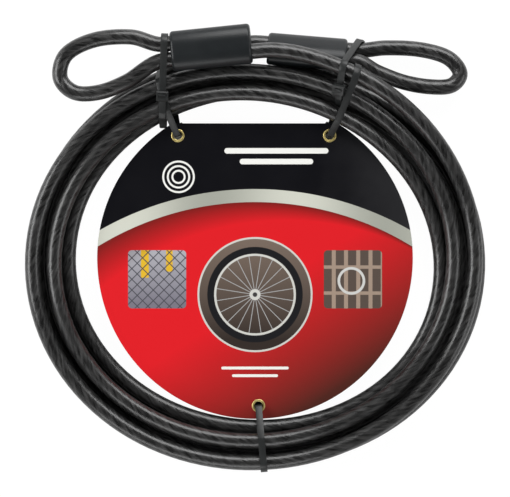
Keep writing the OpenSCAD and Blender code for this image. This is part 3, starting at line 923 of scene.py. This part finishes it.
# %% Metals
BRASS = [(0.76, 0.58, 0.20), (0.94, 0.80, 0.34)]
ALUMINIUM = [(0.55, 0.56, 0.58), (0.80, 0.81, 0.83)]
STEEL = [(0.30, 0.30, 0.31), (0.62, 0.62, 0.63)]


def metal(name, dull, bright, **wear):
    finish, tree, skin = new_finish(name, Metallic=1.0)
    patches = worn(tree, skin, **wear)
    tree.links.new(mixed(tree, patches, dull + (1,), bright + (1,)), skin["Base Color"])
    print("finish:", name)
    return finish


brass = metal("eyelet_brass", *BRASS, rough=0.32, spread=0.2, patch=260, grain=2500, depth=0.01)
pressed = metal("pressed_aluminium", *ALUMINIUM, rough=0.28, spread=0.3, patch=90, grain=700, depth=0.05)
drawn = metal("drawn_steel", *STEEL, rough=0.25, spread=0.25, patch=120, grain=1800, depth=0.03)
for ring in rings:
    ring.data.materials.append(brass)
for side in EYELETS:
    paint_node(side + "_eyelet_washer", brass)
for side in ("left", "right"):
    paint_node(side + "_ferrule", pressed)
for rope in ropes:
    rope.data.materials.append(drawn)

# %% [markdown]
# ## Finish: the printed card
# The print is drawn by distance. How far a point is from the edge of a shape makes a mask, which is 1
# inside the shape and 0 outside it, with a short slope between so that the edge is clean. Circles, rings,
# rounded boxes and stripes are enough for nearly all of it. The floor uses the same tools later, to mark
# where the coil covers it.

# %% Print tools
SOFT = 0.12


class Print:
    """Draws masks on the card in its own millimetres, with the card's middle at (0, 0)."""

    def __init__(self, tree):
        self.tree = tree
        place = add(tree, "ShaderNodeSeparateXYZ", {0: at_object(tree)}).outputs
        self.x = sum_of(tree, "MULTIPLY", place[0], 1 / MM)
        self.y = sum_of(tree, "MULTIPLY_ADD", place[1], 1 / MM, MID_Y)

    def do(self, operation, *values):
        return sum_of(self.tree, operation, *values)

    def inside(self, distance):
        """1 where the distance is below 0, with a soft edge."""
        scaled = self.do("DIVIDE", distance, -2 * SOFT)
        return self.do("MINIMUM", self.do("MAXIMUM", self.do("ADD", scaled, 0.5), 0), 1)

    def length(self, dx, dy):
        return self.do("SQRT", self.do("ADD", self.do("MULTIPLY", dx, dx), self.do("MULTIPLY", dy, dy)))

    def from_point(self, x, y):
        """Distance to a point."""
        return self.length(self.do("SUBTRACT", self.x, x), self.do("SUBTRACT", self.y, y))

    def disc(self, x, y, r):
        return self.inside(self.do("SUBTRACT", self.from_point(x, y), r))

    def ring(self, x, y, r, width):
        off = self.do("ABSOLUTE", self.do("SUBTRACT", self.from_point(x, y), r))
        return self.inside(self.do("SUBTRACT", off, width / 2))

    def box(self, x, y, half_w, half_h, corner):
        """A rounded box."""
        dx = self.do("SUBTRACT", self.do("ABSOLUTE", self.do("SUBTRACT", self.x, x)), half_w - corner)
        dy = self.do("SUBTRACT", self.do("ABSOLUTE", self.do("SUBTRACT", self.y, y)), half_h - corner)
        far = self.length(self.do("MAXIMUM", dx, 0), self.do("MAXIMUM", dy, 0))
        return self.inside(self.do("SUBTRACT", far, corner))

    def stripes(self, along, step, width):
        """Lines across a value, one every step, that wide."""
        part = self.do("SUBTRACT", self.do("FRACT", self.do("DIVIDE", along, step)), 0.5)
        off = self.do("MULTIPLY", self.do("ABSOLUTE", part), step)
        return self.inside(self.do("SUBTRACT", off, width / 2))

    def both(self, a, b):
        return self.do("MULTIPLY", a, b)

    def either(self, *masks):
        total = masks[0]
        for mask in masks[1:]:
            total = self.do("MAXIMUM", total, mask)
        return total


print("print tools ready")

# %% [markdown]
# ## The design on the card
# The colours are those of common hardware packaging: black above, red below and a pale band between. The
# motifs are plain ones: a spoked wheel on a round plate, a panel with a lattice and one with a row of
# bars stand for what the cable is for. Short pale bars stand where a maker would set words. Places and
# widths are millimetres from the middle of the card. Each motif is printed over the colour under it by
# one more mix.

# %% Card print
INK_RED = (0.72, 0.013, 0.019, 1)
INK_DARK_RED = (0.080, 0.020, 0.014, 1)
INK_PALE = (0.62, 0.62, 0.58, 1)
INK_WHITE = (0.86, 0.86, 0.82, 1)
TO_CORNER = (0.55, -0.85)
DARK_FROM = 22.4
DARK_TO = 102.4

front, tree, skin = new_finish("card_print", IOR=1.5, Specular_IOR_Level=0.2)
ink = Print(tree)
patches = worn(tree, skin, rough=0.30, spread=0.12, patch=25, grain=1500, depth=0.01)


def printed(under, mask, colour):
    return mixed(tree, mask, under, colour)


to_corner = ink.do("MULTIPLY_ADD", ink.x, TO_CORNER[0], ink.do("MULTIPLY", ink.y, TO_CORNER[1]))
field = mixed(tree, carried(tree, to_corner, DARK_FROM, DARK_TO), INK_RED, INK_DARK_RED)
print("card ground laid")

# %% Wheel motif
WHEEL = (0, -24)
WHEEL_R = 32
PLATE_R = WHEEL_R + 5
PLATE_LINE = 1.2
TYRE_R = WHEEL_R - 3
TYRE_W = 4.4
RIM_R = WHEEL_R - 6
RIM_W = 1.4
SPOKES = 20
SPOKE_W = 0.44
HUB_R = 3.6
BORE_DOT_R = 1.5
DARK_AT = -53.57
PALE_AT = 17.86
PLATE_DARK = (0.035, 0.026, 0.022, 1)
PLATE_PALE = (0.20, 0.15, 0.12, 1)
TYRE_BLACK = (0.012, 0.012, 0.014, 1)
SPOKE_GREY = grey(0.42)
BORE_GREY = grey(0.05)

plate_ink = mixed(tree, carried(tree, ink.y, DARK_AT, PALE_AT), PLATE_DARK, PLATE_PALE)
field = printed(field, ink.disc(*WHEEL, PLATE_R), plate_ink)
field = printed(field, ink.ring(*WHEEL, PLATE_R, PLATE_LINE), INK_PALE)
dx = ink.do("SUBTRACT", ink.x, WHEEL[0])
dy = ink.do("SUBTRACT", ink.y, WHEEL[1])
share = ink.do("MULTIPLY", ink.do("ARCTAN2", dy, dx), SPOKES / math.tau)
offset = ink.do("ABSOLUTE", ink.do("SUBTRACT", ink.do("FRACT", share), 0.5))
aside = ink.do("MULTIPLY", offset, ink.do("MULTIPLY", ink.length(dx, dy), math.tau / SPOKES))
spokes = ink.both(ink.inside(ink.do("SUBTRACT", aside, SPOKE_W / 2)), ink.disc(*WHEEL, RIM_R))
field = printed(field, spokes, SPOKE_GREY)
field = printed(field, ink.ring(*WHEEL, TYRE_R, TYRE_W), TYRE_BLACK)
field = printed(field, ink.ring(*WHEEL, RIM_R, RIM_W), INK_PALE)
field = printed(field, ink.disc(*WHEEL, HUB_R), INK_PALE)
field = printed(field, ink.disc(*WHEEL, BORE_DOT_R), BORE_GREY)
print("wheel motif drawn")

# %% Lattice panel
PANEL = 19
CORNER = 2.5
LATTICE_AT = (-64, -14)
LATTICE_STEP = 7
WIRE_W = 0.9
POSTS = [(-72, -3, 2.6, 10), (-56, -1, 2.2, 8)]
POST_CORNER = 0.4
DUSK_FROM = -30
DUSK_TO = 20
SKY_LOW = (0.19, 0.18, 0.22, 1)
SKY_HIGH = (0.52, 0.52, 0.56, 1)
POST_YELLOW = (0.74, 0.46, 0.03, 1)
WIRE_GREY = (0.07, 0.07, 0.085, 1)

panel = ink.box(*LATTICE_AT, PANEL, PANEL, CORNER)
sky = mixed(tree, carried(tree, ink.y, DUSK_FROM, DUSK_TO), SKY_LOW, SKY_HIGH)
field = printed(field, panel, sky)
posts = ink.either(*[ink.box(*post, POST_CORNER) for post in POSTS])
field = printed(field, ink.both(panel, posts), POST_YELLOW)
rising = ink.stripes(ink.do("ADD", ink.x, ink.y), LATTICE_STEP, WIRE_W)
falling = ink.stripes(ink.do("SUBTRACT", ink.x, ink.y), LATTICE_STEP, WIRE_W)
field = printed(field, ink.both(panel, ink.either(rising, falling)), WIRE_GREY)
print("lattice panel drawn")

# %% Bars panel
BARS_AT = (64, -14)
BARS_STEP = 8
BARS_SHIFT = 0.5
BAR_W = 2.6
RAIL_HALF = 1.1
RAIL_CORNER = 0.3
RAILS_UP = (8, -9)
RING_AT = (BARS_AT[0] - 1, BARS_AT[1] - 1)
RING_R = 8.2
RING_W = 1.7
LOWER_BARS = [(-72, 22), (-77, 15)]
LOWER_HALF = 0.9
PANEL_BROWN = (0.10, 0.075, 0.062, 1)
BAR_BROWN = (0.36, 0.27, 0.21, 1)
RING_PALE = (0.62, 0.62, 0.60, 1)

panel = ink.box(*BARS_AT, PANEL, PANEL, CORNER)
field = printed(field, panel, PANEL_BROWN)
rails = [ink.box(BARS_AT[0], BARS_AT[1] + up, PANEL, RAIL_HALF, RAIL_CORNER) for up in RAILS_UP]
bars = ink.either(ink.stripes(ink.do("ADD", ink.x, BARS_SHIFT), BARS_STEP, BAR_W), *rails)
field = printed(field, ink.both(panel, bars), BAR_BROWN)
field = printed(field, ink.ring(*RING_AT, RING_R, RING_W), RING_PALE)
for y, half in LOWER_BARS:
    field = printed(field, ink.box(0, y, half, LOWER_HALF, LOWER_HALF), INK_WHITE)
print("bars panel drawn")

# %% Dark field
INK_BLACK = (0.0015, 0.0015, 0.003, 1)
WORN_BLACK = (0.005, 0.005, 0.007, 1)
# Grey of the painted sheen on the black
PAINTED_SHEEN_GREY = (0.030, 0.030, 0.032, 1)
RINGS_AT = (-50, 53)
RING_RADII = (10, 7, 4)
RING_LINE = 1.2
UPPER_BARS = [(14, 70, 34), (14, 63, 24)]
UPPER_HALF = 1.8
SHEEN_RATE = 0.012
SHEEN_PATCHES = 0.5
SHEEN_BASE = -0.75

black = mixed(tree, patches, INK_BLACK, WORN_BLACK)
# Painted sheen: a painted reflection that turns the black greyer towards the right, in patches
uneven = ink.do("MULTIPLY_ADD", patches, SHEEN_PATCHES, SHEEN_BASE)
painted_sheen = ink.do("MULTIPLY_ADD", ink.x, SHEEN_RATE, uneven)
black = printed(black, painted_sheen, PAINTED_SHEEN_GREY)
for r in RING_RADII:
    black = printed(black, ink.ring(*RINGS_AT, r, RING_LINE), INK_WHITE)
for x, y, half in UPPER_BARS:
    black = printed(black, ink.box(x, y, half, UPPER_HALF, UPPER_HALF), INK_WHITE)
print("dark field drawn")

# %% Band
BAND_R = 205
BAND_AT = (0, -160)
BAND_W = 8.5
SHADE_W = 13
SHADE_NARROWS = -0.11
SHADE_DEPTH = 0.8
SHINE_RATE = 0.055
SHADE_RED = (0.06, 0.012, 0.009, 1)
SILVER_DIM = (0.36, 0.37, 0.32, 1)
SILVER_BRIGHT = (0.62, 0.63, 0.55, 1)

far = ink.from_point(*BAND_AT)
above = ink.inside(ink.do("SUBTRACT", BAND_R, far))
below = ink.inside(ink.do("SUBTRACT", far, BAND_R - BAND_W))
shade_w = ink.do("MULTIPLY_ADD", ink.x, SHADE_NARROWS, SHADE_W)
shade = ink.do("SUBTRACT", 1, ink.do("DIVIDE", ink.do("SUBTRACT", BAND_R - BAND_W, far), shade_w))
field = printed(field, ink.do("MULTIPLY", ink.do("MAXIMUM", shade, 0), SHADE_DEPTH), SHADE_RED)
wave = ink.do("SINE", ink.do("MULTIPLY", ink.x, SHINE_RATE))
shine = ink.do("MULTIPLY_ADD", wave, 0.5, 0.5)
silver = mixed(tree, shine, SILVER_DIM, SILVER_BRIGHT)
colour = mixed(tree, below, silver, field)
colour = mixed(tree, above, colour, black)
tree.links.new(colour, skin["Base Color"])
print("card nodes:", len(tree.nodes))

# %% [markdown]
# ## Finish: bare board
# Only the front is coated and printed. The cut edge and the back are the bare grey board, with short
# fibres in it and soft patches. The faces of the card are sorted between the two finishes by their
# normals.

# %% Board
UPWARDS = 0.5
FIBRE_SCALE = (260, 1400, 400)
FIBRE_SHARE = 0.6
FIBRE_DEPTH = 0.04
PULP_DARK = (0.36, 0.34, 0.30, 1)
PULP_PALE = (0.56, 0.54, 0.49, 1)

board, tree, skin = new_finish("bare_board", Roughness=0.9)
marks = place_group(tree, handling, Place=at_object(tree), Patch_Scale=30, Grain_Scale=400)
stretched = add(tree, "ShaderNodeMapping", {"Vector": at_object(tree), "Scale": FIBRE_SCALE}).outputs[0]
fibres = noise_of(tree, stretched, scale=1, detail=3)
clouds = sum_of(tree, "MULTIPLY", marks["Patches"], 1 - FIBRE_SHARE)
pulp = sum_of(tree, "MULTIPLY_ADD", fibres, FIBRE_SHARE, clouds)
tree.links.new(mixed(tree, pulp, PULP_DARK, PULP_PALE), skin["Base Color"])
bumped(tree, skin, fibres, FIBRE_DEPTH * MM)
card.data.materials.append(front)
card.data.materials.append(board)
for face in card.data.polygons:
    face.material_index = 0 if face.normal.z > UPWARDS else 1
print("printed faces:", sum(face.material_index == 0 for face in card.data.polygons))

# %% [markdown]
# ## The floor
# A white floor glows where the camera sees it, and keeps only a trace of the soft shadow, except right
# under the coil, where no light gets in between the turns, and under the eyelets. Those places are masks
# round the coil's own oval. In a narrower band under the coil, where the floor shows through the slits
# between the turns, its colour is painted nearly black as a painted shadow. From below the floor is
# clear, so that the back of the card can be looked at.

# %% Covered floor
COVERED_FROM = 115.6
COVERED_TO = 142
COVERED_AT_CRIMPS = 133.5
SLIT_SHADOW_TO = 137
UNDER_EYELET = 6
CRIMPS_FROM = 0.93
CRIMPS_TO = 0.99
FLOOR_SIZE = 6
FLOOR_DROP = 0.2 * MM

bpy.ops.mesh.primitive_plane_add(size=FLOOR_SIZE, location=(0, 0, -FLOOR_DROP))
floor = bpy.context.object
floor.name = "floor"
paper, tree, skin = new_finish("floor_paper", Roughness=0.9)
floor.data.materials.append(paper)
plan = Print(tree)
twice = plan.do("MULTIPLY", plan.do("ARCTAN2", plan.x, plan.y), 2)
reach = plan.from_point(0, 0)
outward = plan.do("ADD", reach, plan.do("MULTIPLY", plan.do("COSINE", twice), OVAL))
beyond_card = plan.inside(plan.do("SUBTRACT", COVERED_FROM, outward))
upness = plan.do("DIVIDE", plan.y, reach)
edge = carried(tree, upness, CRIMPS_FROM, CRIMPS_TO, COVERED_TO, COVERED_AT_CRIMPS)
covered = plan.both(plan.inside(plan.do("SUBTRACT", outward, edge)), beyond_card)
narrow = plan.do("MINIMUM", edge, SLIT_SHADOW_TO)
# Mask of the band under the coil whose colour is painted dark, as a painted shadow in the slits
slit_shadow = plan.both(plan.inside(plan.do("SUBTRACT", outward, narrow)), beyond_card)
spots = [plan.disc(x / MM, y / MM + MID_Y, UNDER_EYELET) for x, y in map(middle, EYELETS.values())]
print("covered floor from", COVERED_FROM, "to", COVERED_TO, "mm")

# %% Floor
PAPER = grey(0.93)
# Painted shadow: the floor's colour in the band under the coil where the slits between the turns show
PAINTED_SLIT_SHADOW = grey(0.03)
GLOW = 1.03
GLOW_SHARE = 0.95

glow = add(tree, "ShaderNodeEmission", {"Color": grey(1), "Strength": GLOW}).outputs[0]
rays = add(tree, "ShaderNodeLightPath").outputs
seen = sum_of(tree, "MAXIMUM", rays["Is Camera Ray"], rays["Is Transmission Ray"])
# The floor's colour is painted nearly black in that band: a painted shadow
tree.links.new(mixed(tree, slit_shadow, PAPER, PAINTED_SLIT_SHADOW), skin["Base Color"])
open_floor = plan.do("MULTIPLY", plan.do("SUBTRACT", 1, plan.either(covered, *spots)), GLOW_SHARE)
shown = sum_of(tree, "MULTIPLY", seen, open_floor)
lit = tree.nodes["Principled BSDF"].outputs[0]
above = add(tree, "ShaderNodeMixShader", {0: shown, 1: lit, 2: glow}).outputs[0]
from_below = add(tree, "ShaderNodeNewGeometry").outputs["Backfacing"]
clear = add(tree, "ShaderNodeBsdfTransparent").outputs[0]
one_sided = add(tree, "ShaderNodeMixShader", {0: from_below, 1: above, 2: clear}).outputs[0]
tree.links.new(one_sided, tree.nodes["Material Output"].inputs["Surface"])
print("floor laid")

# %% [markdown]
# ## Light
# Large soft lamps stand low beyond the top and at both sides, so that each turn of the cable gets long
# bright lines off its middle. A weak small one stands beyond the lower edge and lights the near turns.
# The surrounding is pale near the horizon and dark overhead, and that keeps the flat black of the card
# from turning grey.

# %% Lamps
def soft_lamp(name, place, size, power):
    bpy.ops.object.light_add(type="AREA", location=place)
    lamp = bpy.context.object
    lamp.name = name
    lamp.data.shape = "RECTANGLE"
    lamp.data.size, lamp.data.size_y = size
    lamp.data.energy = power
    lamp.rotation_euler = (-Vector(place)).to_track_quat("-Z", "Y").to_euler()
    print(name, "power in watts:", power)


soft_lamp("top_lamp", place=(0.25, 1.05, 0.75), size=(1.2, 0.7), power=15)
soft_lamp("left_lamp", place=(-1.10, 0.15, 0.70), size=(0.9, 0.6), power=10)
soft_lamp("right_lamp", place=(1.15, -0.25, 0.65), size=(0.8, 0.5), power=3)
soft_lamp("lower_lamp", place=(-0.15, -0.62, 0.36), size=(0.7, 0.3), power=1.8)

# %% World
HORIZON = grey(0.34)
OVERHEAD = grey(0.09)
LOW_SKY = 0.1
HIGH_SKY = 0.9

world = bpy.data.worlds.new("studio")
bpy.context.scene.world = world
world.use_nodes = True
tree = world.node_tree
direction = add(tree, "ShaderNodeTexCoord").outputs["Generated"]
up = add(tree, "ShaderNodeSeparateXYZ", {0: direction}).outputs[2]
sky = mixed(tree, carried(tree, up, LOW_SKY, HIGH_SKY), HORIZON, OVERHEAD)
tree.links.new(sky, tree.nodes["Background"].inputs["Color"])
print("world:", world.name)
